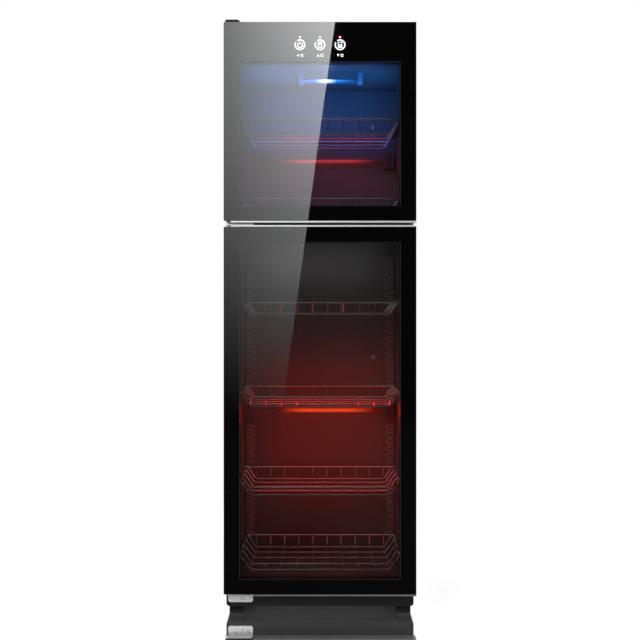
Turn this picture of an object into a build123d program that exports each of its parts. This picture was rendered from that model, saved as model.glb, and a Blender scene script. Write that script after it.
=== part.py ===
import os

from build123d import *

# Dish sterilizer cabinet: a tall steel cabinet with two heated chambers one above the other,
# each behind its own left-hinged glass door, with six wire baskets on side runners.
# Millimetres. Origin on the floor under the middle of the cabinet, +Z up, the doors face -Y.

# ---------------------------------------------------------------- overall
overall_width = 500.0          # across the doors
overall_depth = 400.0          # door glass to the cord gland behind
foot_height = 20.0
base_height = 36.0
lower_door_height = 963.0
door_seam = 6.5                # between the two doors
upper_door_height = 520.5

# ---------------------------------------------------------------- cabinet
side_inset = 4.0               # each cabinet side stands this far inside the doors' edges
wall = 20.0                    # outer skin to chamber
sheet = 1.0                    # every steel sheet
gland_reach = 3.0              # the cord gland behind the back panel
base_front = 32.0              # the base's front face behind the door glass
top_tray = 15.5                # height of the top cover's skirt
cover_gap = 0.5                # top cover over the doors' top edge
back_space = 24.0              # lining to back panel
beam_depth = 25.0
beam_sheet = 1.5
gasket_lap = 18.0              # lower seal's ring below the chamber's floor
lower_floor_rise = 25.0        # chamber floor over the lower door's bottom edge
lower_ceiling_drop = 21.0      # chamber ceiling under the lower door's top edge
upper_floor_rise = 22.5        # chamber floor over the upper door's bottom edge
roof_space = 93.5              # upper chamber's ceiling under the top cover
panel_press = 0.5              # depth of the back panel's pressed fields
panel_margin = 76.0            # pressed fields in from the panel's edges
skirt_wall = 3.0               # moulded plinth
gland_radius = 9.0
gland_inset = 66.0             # gland in from the cabinet's right side
gland_rise = 53.0              # gland over the cabinet's bottom
foot_width = 36.0
foot_collar = 6.0
foot_sole = 11.0
foot_inset = 7.0               # feet in from the cabinet's sides

# ---------------------------------------------------------------- doors
glass = 4.0
door_thickness = 30.0
door_gap = 10.0                # door back to cabinet front, filled by the gasket
border = 42.0                  # black border round each window
header = 104.0                 # control header over the upper window
trim = 4.5                     # aluminium strips
frame_inset = 2.0              # frame inside the glass edge
gasket_width = 7.0
gasket_seat = 0.3              # gap that is left at the cabinet's face
grip_radius = 8.0              # finger groove down the free edge

# ---------------------------------------------------------------- hinges
pin_edge = 10.0                # pin axis in from the doors' left edge
pin_back = 6.0                 # pin axis in front of the doors' back face
pin_diameter = 7.0
pin_reach = 18.0               # into each door
running = 0.05                 # radial clearance of a pin in its bush
bush_wall = 1.7
hinge_plate = 3.0
lower_plate_length = 65.0
lower_plate_height = 26.0
plate_rise = 1.5               # lower plate's shelf over the door's bottom line
leg_reach = 9.5                # middle plate's leg above and below its shelf
leg_inset = 8.0                # its leg in from the chamber's left wall
leg_length = 44.0
eye_radius = 8.0
screw_shank = 2.2
screw_head = 4.0
bush_depth = 20.0
bush_float = 0.3               # bush collars over the plates they run on
cover_width = 33.0
cover_height = 6.5
cover_slope = 8.0              # the cover's right side slopes down over this width

# ---------------------------------------------------------------- baskets
upper_shares = (0.5593, 0.0370)                     # basket floors, up each chamber
lower_shares = (0.7688, 0.4962, 0.2334, 0.0120)
basket_front = 60.0            # rim behind the door glass
basket_gap = 22.0              # rim to the chamber's back wall
rim_wire = 4.0
rib_wire = 3.5
long_wire = 3.0
rim_height = 31.3
rim_clear = 5.0                # rim to the chamber wall
rim_bend = 7.0                 # the rim's corners are cut this far back
rib_count = 5
long_count = 10
floor_inset = 29.0             # the ribs fall from the rim to the floor over this width
front_inset = 27.0             # the rim's straight front ends this far in
front_ramp = 48.0              # the front wires rise over this depth
back_ramp = 12.0
weld = 0.06                    # crossing wires sink this far into each other
runner_sheet = 1.2
runner_ledge = 14.0
runner_leg = 12.0
runner_gap = 0.3

# ---------------------------------------------------------------- heaters, lamp, controls
heater_shares = (0.4716, 0.4515)    # up the upper and the lower chamber
heater_tube = 10.0
tube_wall = 1.0
heater_left_room = 76.0        # tube ends to the chamber's walls
heater_right_room = 32.0
heater_off_wall = 20.0
lamp_tube = 12.0
lamp_length = 150.0
lamp_x = 30.0
lamp_back = 120.0              # lamp behind the cabinet's front
lamp_drop = 22.0
holder_length = 12.0
sensor_shares = (0.7284, 0.6238)
sensor_inset = 66.0
sensor_radius = 7.0
key_spacing = 52.0
key_drop = 59.5                # keys under the upper door's top edge
key_pad = 14.0
led_rise = 19.5
led_radius = 2.5
supply_size = (160.0, 110.0, 1.6)  # power board over the upper chamber
supply_left = 76.0             # its left end inside the chamber's wall
supply_post = 10.0
vent_pitch = 21.4
vent_slot = (20.0, 6.0)
vent_width = 28.0
vent_depth = 6.0
vent_margin = 22.0             # channel ends to the chamber's floor and ceiling
cover_size = (30.0, 46.0, 28.0)    # heater end cover: across, high, off the wall

# ---------------------------------------------------------------- worked out
half = overall_width / 2
door_front = -overall_depth / 2
door_back = door_front + door_thickness
glass_back = door_front + glass
body_front = door_back + door_gap
back_face = overall_depth / 2 - gland_reach
body_half = half - side_inset
chamber_half = body_half - wall
lining_back = back_face - sheet - back_space
base_z = foot_height
body_z = base_z + base_height
lower_top = body_z + lower_door_height
lower_floor_z = body_z + lower_floor_rise
lower_ceiling_z = lower_top - lower_ceiling_drop
upper_z = lower_top + door_seam
upper_top = upper_z + upper_door_height
body_top = upper_top + cover_gap
upper_floor_z = upper_z + upper_floor_rise
upper_ceiling_z = body_top - roof_space
skirt_z = body_top - top_tray
pin_x = -half + pin_edge
pin_y = door_back - pin_back
bush_radius = pin_diameter / 2 + running + bush_wall
lower_window = (body_z + trim + border - 2, lower_top - trim - border + 1)
upper_window = (upper_z + trim + border - 2, upper_top - header)
window_half = half - border
lower_height = lower_ceiling_z - lower_floor_z
upper_height = upper_ceiling_z - upper_floor_z
upper_baskets = [upper_floor_z + share * upper_height for share in upper_shares]
lower_baskets = [lower_floor_z + share * lower_height for share in lower_shares]
rim_half = chamber_half - rim_clear - rim_wire / 2
floor_half = rim_half - floor_inset
rim_back = lining_back - basket_gap
upper_heater = upper_floor_z + heater_shares[0] * upper_height
lower_heater = lower_floor_z + heater_shares[1] * lower_height
heater_left = -chamber_half + heater_left_room
heater_right = chamber_half - heater_right_room
lamp_y = body_front + lamp_back
sensor_x = chamber_half - sensor_inset
upper_sensor = upper_floor_z + sensor_shares[0] * upper_height
lower_sensor = lower_floor_z + sensor_shares[1] * lower_height
key_z = upper_top - key_drop
gland_x = body_half - gland_inset
gland_z = body_z + gland_rise
foot_x = body_half - foot_inset - foot_width / 2
foot_rows = (door_front + base_front + 26.0, back_face - 30.0)
lower_screws = [(pin_x + across, body_z - down) for across, down in
                ((19.5, 9.5), (37.5, 16.5), (51.5, 9.5))]
top_screw_x = pin_x + 12
top_screw_rows = (body_front + 10, body_front + 28)
plate_top = body_z + plate_rise
middle_plate = lower_top + (door_seam - hinge_plate) / 2


def block(x, y, z):
    """A box between three pairs of limits."""
    centre = Pos((x[0] + x[1]) / 2, (y[0] + y[1]) / 2, (z[0] + z[1]) / 2)
    return centre * Box(x[1] - x[0], y[1] - y[0], z[1] - z[0])


def along_x(points, x0, x1):
    """A closed outline of (y, z) points, drawn out from x0 to x1."""
    face = make_face(Polyline(*[(x0, y, z) for y, z in points], close=True))
    return extrude(face, amount=x1 - x0, dir=(1, 0, 0))


def along_y(points, y0, y1):
    """A closed outline of (x, z) points, drawn out from y0 to y1."""
    face = make_face(Polyline(*[(x, y0, z) for x, z in points], close=True))
    return extrude(face, amount=y1 - y0, dir=(0, 1, 0))


def along_z(points, z0, z1):
    """A closed outline of (x, y) points, drawn out from z0 to z1."""
    face = make_face(Polyline(*[(x, y, z0) for x, y in points], close=True))
    return extrude(face, amount=z1 - z0, dir=(0, 0, 1))


def rod(x, y, z, radius, length, axis="Z", sides=0):
    """A bar that starts at x, y, z and runs along one axis, round or with a number of flats."""
    turn = {"X": Rot(0, 90, 0), "Y": Rot(-90, 0, 0), "Z": Rot(0, 0, 0)}[axis]
    if sides:
        bar = extrude(RegularPolygon(radius, sides), length)
    else:
        bar = Cylinder(radius, length, align=(Align.CENTER, Align.CENTER, Align.MIN))
    return Pos(x, y, z) * turn * bar


def square(x, y, width, cut):
    """The outline of a square with its corners cut off."""
    a, b = width / 2, width / 2 - cut
    return [(x + u, y + v) for u, v in
            ((a, -b), (a, b), (b, a), (-b, a), (-a, b), (-a, -b), (-b, -a), (b, -a))]


def mirrored(part):
    return mirror(part, about=Plane.YZ)


def bent_wire(points, diameter, sides, close=False):
    """Wire along a row of points, drawn with a few flats, and mitred where it bends."""
    path = Polyline(*points, close=close)
    start = Plane(origin=path @ 0, z_dir=path % 0)
    section = start * RegularPolygon(diameter / 2, sides)
    return sweep(section, path=path, transition=Transition.RIGHT)


def eased(corners, cut):
    """A closed row of points with each corner cut off, so that a wire turns it in two bends."""
    points = []
    for before, corner, after in zip(corners[-1:] + corners[:-1], corners, corners[1:] + corners[:1]):
        for other in (before, after):
            way = (Vector(*other) - Vector(*corner)).normalized()
            points.append(Vector(*corner) + way * cut)
    return points


def write(name, *pieces):
    solids = []
    for piece in pieces:
        solids += list(piece.solids())
    part = solids[0] if len(solids) == 1 else Compound(children=solids)
    part.label = name
    export_step(part, "parts/" + name + ".step")


# ================================================================ cabinet shell
def side_panel():
    """Right-hand skin with a flange to the front and one to the back."""
    inner = body_half - sheet
    flange = chamber_half
    skin_back = back_face - sheet
    outline = [(flange, body_front), (body_half, body_front), (body_half, skin_back),
               (flange, skin_back), (flange, skin_back - sheet), (inner, skin_back - sheet),
               (inner, body_front + sheet), (flange, body_front + sheet)]
    return along_z(outline, body_z, skirt_z)


def top_cover():
    """Pressed tray that caps the sides and the back panel."""
    tray = block((-body_half, body_half), (body_front, back_face), (skirt_z, body_top))
    top_edges = tray.edges().group_by(Axis.Z)[-1]
    tray = fillet(top_edges, 3)
    hollow = block((-body_half + sheet, body_half - sheet),
                   (body_front + sheet, back_face - sheet), (skirt_z, body_top - sheet))
    return tray - hollow


def back_panel():
    """Flat back with two pressed stiffening panels and the gland's hole."""
    panel = block((-body_half, body_half), (back_face - sheet, back_face), (body_z, skirt_z))
    side = body_half - panel_margin
    for low, high in ((lower_floor_z + panel_margin - 4, lower_ceiling_z - panel_margin - 9),
                      (upper_floor_z - panel_margin + 21, upper_ceiling_z - panel_margin + 36)):
        field = block((-side, side), (back_face - panel_press, back_face), (low, high))
        panel -= chamfer(field.edges().filter_by(Axis.Y), 16)
    return panel - rod(gland_x, back_face - 2 * sheet, gland_z, gland_radius, 4 * sheet, "Y")


def cord_gland():
    """Moulded bush where the supply lead would leave, with its flange behind the panel."""
    flange = rod(gland_x, back_face, gland_z, gland_radius + 3, gland_reach, "Y", 16)
    neck = rod(gland_x, back_face - 6, gland_z, gland_radius, 6, "Y")
    bore = rod(gland_x, back_face - 7, gland_z, 4, 12, "Y", 12)
    return flange + neck - bore


def base_pan():
    """Moulded plinth: a deck with a skirt, rounded lower corners and four foot sockets."""
    front = door_front + base_front
    body = block((-body_half, body_half), (front, back_face), (base_z, body_z))
    low = body.edges().filter_by(Axis.Y).group_by(Axis.Z)[0]
    body = fillet(low, 8)
    body -= block((-body_half + skirt_wall, body_half - skirt_wall),
                  (front + skirt_wall, back_face - skirt_wall), (base_z - 1, body_z - skirt_wall))
    reach = foot_width / 2 + 4
    for x in (-foot_x, foot_x):
        for y in foot_rows:
            body += block((x - reach, x + reach), (y - reach, y + reach), (base_z, body_z - 1))
    return body


def foot(x, y):
    """Square moulded foot with a waist and an eased sole."""
    collar = along_z(square(x, y, foot_width, 3), foot_height - foot_collar, foot_height)
    waist = along_z(square(x, y, foot_width - 6, 3), 0, foot_height - foot_collar)
    sole = along_z(square(x, y, foot_width, 3), 0, foot_sole)
    return collar + waist + chamfer(sole.edges().group_by(Axis.Z)[0], 1.5)


def beam(z0, z1):
    """Channel across the front, open to the back."""
    y0, y1, t = body_front, body_front + beam_depth, beam_sheet
    outline = [(y0, z0), (y1, z0), (y1, z0 + t), (y0 + t, z0 + t),
               (y0 + t, z1 - t), (y1, z1 - t), (y1, z1), (y0, z1)]
    return along_x(outline, -chamber_half, chamber_half)


# ================================================================ chamber linings
def lining_side(z0, z1):
    outer = chamber_half + sheet
    panel = block((chamber_half, outer), (body_front + sheet, lining_back), (z0 - sheet, z1 + sheet))
    return panel


def lining_level(z0, z1):
    return block((-chamber_half, chamber_half), (body_front, lining_back), (z0, z1))


def lining_back_sheet(z0, z1, hollows):
    outer = chamber_half + sheet
    panel = block((-outer, outer), (lining_back, lining_back + sheet), (z0 - sheet, z1 + sheet))
    for x, z, radius in hollows:
        panel -= rod(x, lining_back - sheet, z, radius, 4 * sheet, "Y", 12)
    return panel


def vent_channel(z0, z1):
    """Shallow air channel up the back wall beside a corner, with a row of slots in its face."""
    x1 = chamber_half - 2.0
    x0 = x1 - vent_width
    y1 = lining_back
    y0 = y1 - vent_depth
    outline = [(x0, y1), (x0, y0), (x1, y0), (x1, y1), (x1 - sheet, y1), (x1 - sheet, y0 + sheet),
               (x0 + sheet, y0 + sheet), (x0 + sheet, y1)]
    channel = along_z(outline, z0, z1)
    slots = int((z1 - z0 - vent_pitch / 2) / vent_pitch)
    side = (vent_width - vent_slot[0]) / 2
    cuts = []
    for k in range(slots):
        z = z0 + vent_pitch * (k + 0.75)
        cuts.append(block((x0 + side, x1 - side), (y0 - 1, y0 + 2 * sheet), (z, z + vent_slot[1])))
    return channel - cuts


def insulation_side():
    return block((chamber_half + sheet, body_half - sheet),
                 (body_front + sheet, back_face - 2 * sheet), (body_z, skirt_z))


def insulation_back():
    pad = block((-chamber_half, chamber_half), (lining_back + sheet, back_face - sheet),
                (lower_floor_z - sheet, upper_ceiling_z + sheet))
    return pad - rod(gland_x, back_face - 8, gland_z, gland_radius, 9, "Y")


# ================================================================ hinges
def eye(z0, z1):
    return rod(pin_x, pin_y, z0, eye_radius, z1 - z0)


def lower_hinge_plate():
    """Folded plate screwed to the base: its leg shows under the door, its shelf holds the pin."""
    x0, x1 = pin_x - 1, pin_x - 1 + lower_plate_length
    face = door_front + base_front
    t = hinge_plate
    z1 = plate_top
    leg = block((x0, x1), (face - t, face), (z1 - lower_plate_height, z1))
    leg = fillet(leg.edges().filter_by(Axis.Y).group_by(Axis.Z)[0], 6)
    shelf = block((x0, x1), (pin_y - 12, face), (z1 - t, z1))
    shelf = fillet(shelf.edges().filter_by(Axis.Z).group_by(Axis.Y)[0], 6)
    plate = leg + shelf + eye(z1 - t, z1)
    plate -= rod(pin_x, pin_y, z1 - 2 * t, pin_diameter / 2, 3 * t)
    for x, z in lower_screws:
        plate -= rod(x, face - 2 * t, z, screw_shank, 4 * t, "Y", 6)
    return plate


def centre_hinge_plate():
    """Plate between the doors, with a leg on the middle beam and one pin up and one down."""
    z0, z1 = middle_plate, middle_plate + hinge_plate
    x0 = -chamber_half + leg_inset
    x1 = x0 + leg_length
    shelf = block((pin_x - 6, x1), (pin_y - 8, body_front), (z0, z1))
    shelf = fillet(shelf.edges().filter_by(Axis.Z).group_by(Axis.Y)[0], 6)
    leg = block((x0, x1), (body_front - hinge_plate, body_front), (z0 - leg_reach, z1 + leg_reach))
    plate = shelf + leg
    plate -= rod(pin_x, pin_y, z0 - 1, pin_diameter / 2, hinge_plate + 2)
    for z in (z0 - leg_reach / 2, z1 + leg_reach / 2):
        plate -= rod((x0 + x1) / 2, body_front - 2 * hinge_plate, z, screw_shank, 4 * hinge_plate, "Y", 6)
    return plate


def top_hinge_plate():
    """Flat plate on the top cover that reaches over the upper door's corner."""
    x0 = pin_x - 4
    plate = block((x0, x0 + cover_width - 5), (pin_y - 12, body_front + 40),
                  (body_top, body_top + hinge_plate))
    plate = chamfer(plate.edges().filter_by(Axis.Z), 3)
    plate -= rod(pin_x, pin_y, body_top - 1, pin_diameter / 2, hinge_plate + 2)
    for y in top_screw_rows:
        plate -= rod(top_screw_x, y, body_top - 1, screw_shank, hinge_plate + 2, "Z", 6)
    return plate


def top_hinge_cover():
    """Black cap over the top hinge plate, with one sloping side."""
    x0 = pin_x - 6.5
    x1 = x0 + cover_width
    y0, y1 = pin_y - 22, body_front + 45
    cap = along_y([(x0, body_top), (x0, body_top + cover_height), (x1, body_top + cover_height),
                   (x1 + cover_slope, body_top)], y0, y1)
    cap = fillet(cap.edges().filter_by(Axis.Z), 4)
    cap = chamfer(cap.edges().group_by(Axis.Z)[-1], 1.2)
    x2 = pin_x - 4
    hollow = block((x2 - 0.2, x2 + cover_width - 4.8), (pin_y - 12.2, body_front + 40.2),
                   (body_top - 1, body_top + 5.0))
    return cap - chamfer(hollow.edges().filter_by(Axis.Z), 3)


def hinge_pins():
    """Three steel pins: one up from the base, one through the middle plate, one down at the top."""
    low = plate_top - hinge_plate
    high = body_top + hinge_plate
    middle = lower_top + door_seam / 2
    bottom = rod(pin_x, pin_y, low, pin_diameter / 2, pin_reach + 5)
    centre = rod(pin_x, pin_y, middle - pin_reach, pin_diameter / 2, 2 * pin_reach)
    top = rod(pin_x, pin_y, high - pin_reach - 3, pin_diameter / 2, pin_reach + 3)
    return bottom, centre, top


def screw(x, y, z, axis):
    """Screw whose head bears on its plate at x, y, z and whose shank fills the plate."""
    head = extrude(RegularPolygon(screw_head, 8), 2.0)
    shank = extrude(RegularPolygon(screw_shank, 6), -hinge_plate)
    turn = {"Y": Rot(90, 0, 0), "Z": Rot(0, 0, 0)}[axis]
    return Pos(x, y, z) * turn * (head + shank)


def hinge_screws():
    face = door_front + base_front - hinge_plate
    pieces = [screw(x, face, z, "Y") for x, z in lower_screws]
    x = -chamber_half + leg_inset + leg_length / 2
    for z in (middle_plate - leg_reach / 2, middle_plate + hinge_plate + leg_reach / 2):
        pieces.append(screw(x, body_front - hinge_plate, z, "Y"))
    for y in top_screw_rows:
        pieces.append(screw(top_screw_x, y, body_top + hinge_plate, "Z"))
    return pieces


# ================================================================ doors
def door_glass(z0, z1):
    pane = block((-half, half), (door_front, glass_back), (z0, z1))
    pane = chamfer(pane.edges().filter_by(Axis.Y), 1.2)
    return chamfer(pane.edges().group_by(Axis.Y)[0], 0.6)


def door_frame(z0, z1, window):
    """Two stiles with two rails between them: a grip down one stile, bush seats in the other."""
    edge = half - frame_inset
    depth = (glass_back, door_back)
    grip_stile = block((window_half, edge), depth, (z0, z1))
    grip_stile = chamfer(grip_stile.edges().filter_by(Axis.Y).group_by(Axis.X)[-1], 2)
    hinge_stile = mirrored(grip_stile)
    grip_stile -= rod(half, (glass_back + door_back) / 2, z0 - 1, grip_radius, z1 - z0 + 2, "Z", 12)
    hinge_stile -= rod(pin_x, pin_y, z0 - 1, bush_radius, bush_depth + 1)
    hinge_stile -= rod(pin_x, pin_y, z1 - bush_depth, bush_radius, bush_depth + 1)
    bottom_rail = block((-window_half, window_half), depth, (z0, window[0]))
    top_rail = block((-window_half, window_half), depth, (window[1], z1))
    return [grip_stile, hinge_stile, bottom_rail, top_rail]


def door_bushes(z0, z1, foot_z, head_z):
    """Two bushes; each has a thrust collar that runs on its hinge plate."""
    pieces = []
    collar = bush_radius + 0.4
    for low, high, face, tip in ((z0, z0 + bush_depth, foot_z, z0), (z1 - bush_depth, z1, z1, head_z)):
        body = rod(pin_x, pin_y, low, bush_radius, high - low)
        body += rod(pin_x, pin_y, face, collar, tip - face)
        body -= rod(pin_x, pin_y, low - 9, pin_diameter / 2 + running, bush_depth + 18)
        pieces.append(body)
    return pieces


def gasket(z0, z1):
    """Soft ring on the door's back that closes on the cabinet's face."""
    outer = -pin_x
    inner = outer - gasket_width
    face = body_front - gasket_seat
    ring = block((-outer, outer), (door_back, face), (z0, z1))
    ring = chamfer(ring.edges().filter_by(Axis.Y), 4)
    ring -= block((-inner, inner), (door_back - 1, face + 1), (z0 + gasket_width, z1 - gasket_width))
    return ring


def edge_strip(x0, z0, z1):
    """Aluminium strip over the end of a door, with eased front edges."""
    strip = block((x0, half), (door_front, door_back), (z0, z1))
    front = strip.edges().filter_by(Axis.X).group_by(Axis.Y)[0]
    return chamfer(front, 0.6)


def touch_board():
    """Circuit board behind the keys, with a sensing pad for each key and a light for each lamp."""
    reach = key_spacing + key_pad + 19
    low, high = key_z - key_pad - 10, key_z + led_rise + 10.5
    parts = [block((-reach, reach), (glass_back + 3, glass_back + 4.6), (low, high))]
    for k in (-1, 0, 1):
        pad = rod(k * key_spacing, glass_back, key_z, key_pad, 3, "Y", 16)
        parts.append(pad - rod(k * key_spacing, glass_back - 1, key_z, key_pad - 3, 5, "Y", 16))
    return parts


def indicator_lights():
    return [rod(k * key_spacing, glass_back, key_z + led_rise, led_radius, 3, "Y", 8)
            for k in (-1, 0, 1)]


def board_pocket():
    """The hollow in the upper door's top rail that takes the touch board."""
    reach = key_spacing + key_pad + 24
    low, high = key_z - key_pad - 14, key_z + led_rise + 14.5
    return block((-reach, reach), (glass_back - 1, glass_back + 8), (low, high))


# ================================================================ baskets and runners
def basket(z0):
    """Welded wire basket: a rim, five ribs that hang from it and ten wires from front to back."""
    rim_z = z0 + rim_height
    front_half = rim_half - front_inset
    y0, y1 = door_front + basket_front, rim_back
    corner = y0 + front_ramp
    corners = [(rim_half, y1, rim_z), (rim_half, corner, rim_z), (front_half, y0, rim_z),
               (-front_half, y0, rim_z), (-rim_half, corner, rim_z), (-rim_half, y1, rim_z)]
    pieces = [bent_wire(eased(corners, rim_bend), rim_wire, 6, close=True)]
    # ribs: their ends lie on the rim, and they carry the floor
    lip_z = rim_z + (rim_wire + rib_wire) / 2 - weld
    tip, knee = rim_half + rim_wire / 2, rim_half - 6
    first, last = corner + 4, y1 - back_ramp - 6
    for k in range(rib_count):
        y = first + (last - first) * k / (rib_count - 1)
        row = [(-tip, y, lip_z), (-knee, y, lip_z), (-floor_half, y, z0),
               (floor_half, y, z0), (knee, y, lip_z), (tip, y, lip_z)]
        pieces.append(bent_wire(row, rib_wire, 6))
    # long wires: they lie on the ribs and rise to the underside of the rim
    bed = z0 + (rib_wire + long_wire) / 2 - weld
    under = rim_z - (rim_wire + long_wire) / 2 + weld
    for k in range(long_count):
        x = (floor_half - 1) * (2 * k / (long_count - 1) - 1)
        row = [(x, y0, under), (x, corner, bed), (x, y1 - back_ramp, bed), (x, y1, under)]
        pieces.append(bent_wire(row, long_wire, 5))
    return pieces


def runner_pair(z0):
    """Folded ledges on both walls under a basket's rim."""
    top = z0 + rim_height - rim_wire / 2 - runner_gap
    t = runner_sheet
    x1 = chamber_half
    x0 = x1 - runner_ledge
    outline = [(x0, top - t), (x0, top), (x1, top), (x1, top - runner_leg),
               (x1 - t, top - runner_leg), (x1 - t, top - t)]
    right = along_y(outline, door_front + basket_front - 6, rim_back - 8)
    return right, mirrored(right)


# ================================================================ heaters and lamp
def heater_line(z):
    return lining_back - heater_off_wall, z


def heater_quartz(z):
    y, z = heater_line(z)
    length = heater_right - heater_left
    tube = rod(heater_left, y, z, heater_tube / 2, length, "X", 16)
    return tube - rod(heater_left - 1, y, z, heater_tube / 2 - tube_wall, length + 2, "X", 16)


def heater_element(z):
    y, z = heater_line(z)
    radius = heater_tube / 2 - tube_wall - 0.05
    core = rod(heater_left + 10, y, z, 2.4, heater_right - heater_left - 20, "X", 6)
    caps = [rod(x, y, z, radius, 10, "X", 8) for x in (heater_left, heater_right - 10)]
    return core + caps


def terminal_cover(z, side):
    """Louvred sheet cover on the back wall over one end of a heater."""
    y, z = heater_line(z)
    width, height, deep = cover_size
    if side > 0:
        x0 = heater_right - 2
    else:
        x0 = heater_left - width + 2
    cover = block((x0, x0 + width), (lining_back - deep, lining_back), (z - height / 2, z + height / 2))
    cover = chamfer(cover.edges().group_by(Axis.Y)[0], 1.5)
    hollow = block((x0 + 1, x0 + width - 1), (lining_back - deep + 1, lining_back + 1),
                   (z - height / 2 + 1, z + height / 2 - 1))
    cover -= hollow
    for k in range(5):
        slot_z = z - 14 + 7 * k
        cover -= block((x0 + 7, x0 + width - 7), (lining_back - deep - 1, lining_back - deep + 2),
                       (slot_z - 1.2, slot_z + 1.2))
    inner = x0 - 1 if side > 0 else x0 + width - 2
    cover -= rod(inner, y, z, heater_tube / 2, 3, "X", 16)
    return cover


def heater_bracket(z):
    """Open U bracket under the left end of the lower heater."""
    y, z = heater_line(z)
    t = 1.5
    x0, x1 = heater_left - 2, heater_left + 26
    r = heater_tube / 2
    outline = [(lining_back, z - r - t), (y - r - t, z - r - t), (y - r - t, z + r),
               (y - r, z + r), (y - r, z - r), (lining_back, z - r)]
    return along_x(outline, x0, x1)


def lamp_centre():
    return lamp_y, upper_ceiling_z - lamp_drop


def lamp_glass():
    y, z = lamp_centre()
    tube = rod(lamp_x - lamp_length / 2, y, z, lamp_tube / 2, lamp_length, "X")
    return tube - rod(lamp_x - lamp_length / 2 - 1, y, z, lamp_tube / 2 - 1, lamp_length + 2, "X")


def lamp_holders():
    y, z = lamp_centre()
    pieces = []
    for side in (-1, 1):
        x = lamp_x + side * lamp_length / 2
        low, high = (x - holder_length, x) if side < 0 else (x, x + holder_length)
        cap = block((low, high), (y - 10, y + 10), (z - 10, upper_ceiling_z))
        cap = chamfer(cap.edges().filter_by(Axis.X).group_by(Axis.Z)[0], 6)
        plug_x = x if side < 0 else x - 8
        cap += rod(plug_x, y, z, lamp_tube / 2 - 1, 8, "X", 12)
        pieces.append(cap)
    return pieces


def sensor(x, z):
    """Thermostat button on a back wall."""
    head = rod(x, lining_back - 5, z, sensor_radius, 5, "Y", 12)
    return chamfer(head.edges().group_by(Axis.Y)[0], 1.5) + rod(x, lining_back, z, 4, sheet, "Y", 12)


def power_board():
    """Supply board in the space over the upper chamber, on four posts."""
    deck = upper_ceiling_z + sheet
    x, y = -chamber_half + supply_left, lamp_y
    long, wide, thick = supply_size
    face = deck + supply_post + thick
    parts = [block((x, x + long), (y, y + wide), (face - thick, face))]
    for post_x in (x + 8, x + long - 8):
        for post_y in (y + 8, y + wide - 8):
            parts.append(rod(post_x, post_y, deck, 3, supply_post, "Z", 6))
    parts.append(block((x + 10, x + 50), (y + 20, y + 55), (face, face + 31)))      # transformer
    parts.append(block((x + 70, x + 90), (y + 30, y + 55), (face, face + 16)))      # relay
    parts.append(rod(x + 115, y + 60, face, 11, 30, "Z", 12))                      # capacitor
    parts.append(block((x + 20, x + 130), (y + 85, y + 98), (face, face + 11)))     # connectors
    return parts


def back_screws():
    rows = [body_z + 30 + k * (skirt_z - body_z - 60) / 4 for k in range(5)]
    pieces = []
    for x in (-body_half + 12, body_half - 12):
        for z in rows:
            head = rod(x, back_face, z, screw_head, 1.6, "Y", 8)
            pieces.append(head)
    return pieces


# ================================================================ written out
os.makedirs("parts", exist_ok=True)

write("side_panel_right", side_panel())
write("side_panel_left", mirrored(side_panel()))
write("top_cover", top_cover())
write("back_panel", back_panel())
write("base_plinth", base_pan())
write("feet", *[foot(x, y) for x in (-foot_x, foot_x) for y in foot_rows])
write("bottom_beam", beam(body_z, lower_floor_z - sheet))
write("middle_beam", beam(lower_ceiling_z + sheet, upper_floor_z - sheet))
write("top_beam", beam(upper_ceiling_z + sheet, skirt_z))

chambers = {"lower": (lower_floor_z, lower_ceiling_z), "upper": (upper_floor_z, upper_ceiling_z)}
for name, (floor_z, ceiling_z) in chambers.items():
    holes = [(sensor_x, z, 4.0) for z in (upper_sensor, lower_sensor) if floor_z < z < ceiling_z]
    write(name + "_lining_right", lining_side(floor_z, ceiling_z))
    write(name + "_lining_left", mirrored(lining_side(floor_z, ceiling_z)))
    write(name + "_lining_floor", lining_level(floor_z - sheet, floor_z))
    write(name + "_lining_ceiling", lining_level(ceiling_z, ceiling_z + sheet))
    write(name + "_lining_back", lining_back_sheet(floor_z, ceiling_z, holes))

write("side_insulation", insulation_side(), mirrored(insulation_side()))
write("back_insulation", insulation_back())
gap_low = lower_heater - cover_size[1] / 2 - 2
gap_high = lower_heater + cover_size[1] / 2 + 2
vents = [vent_channel(lower_floor_z + vent_margin, gap_low),
         vent_channel(gap_high, lower_ceiling_z - vent_margin)]
write("corner_vents", *vents, *[mirrored(vent) for vent in vents])

write("lower_hinge_plate", lower_hinge_plate())
write("centre_hinge_plate", centre_hinge_plate())
write("top_hinge_plate", top_hinge_plate())
write("top_hinge_cover", top_hinge_cover())
write("hinge_pins", *hinge_pins())
write("hinge_screws", *hinge_screws())
write("back_screws", *back_screws())
write("cord_gland", cord_gland())

write("heater_tubes", heater_quartz(upper_heater), heater_quartz(lower_heater))
write("heater_elements", heater_element(upper_heater), heater_element(lower_heater))
write("heater_covers", terminal_cover(upper_heater, 1), terminal_cover(upper_heater, -1),
      terminal_cover(lower_heater, 1))
write("heater_bracket", heater_bracket(lower_heater))
write("uv_lamp_tube", lamp_glass())
write("uv_lamp_holders", *lamp_holders())
write("thermostats", sensor(sensor_x, upper_sensor), sensor(sensor_x, lower_sensor))
write("power_board", *power_board())

write("upper_runners", *[leg for z in upper_baskets for leg in runner_pair(z)])
write("lower_runners", *[leg for z in lower_baskets for leg in runner_pair(z)])
for number, z in enumerate(upper_baskets + lower_baskets, start=1):
    write(f"basket_{number}", *basket(z))

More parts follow.
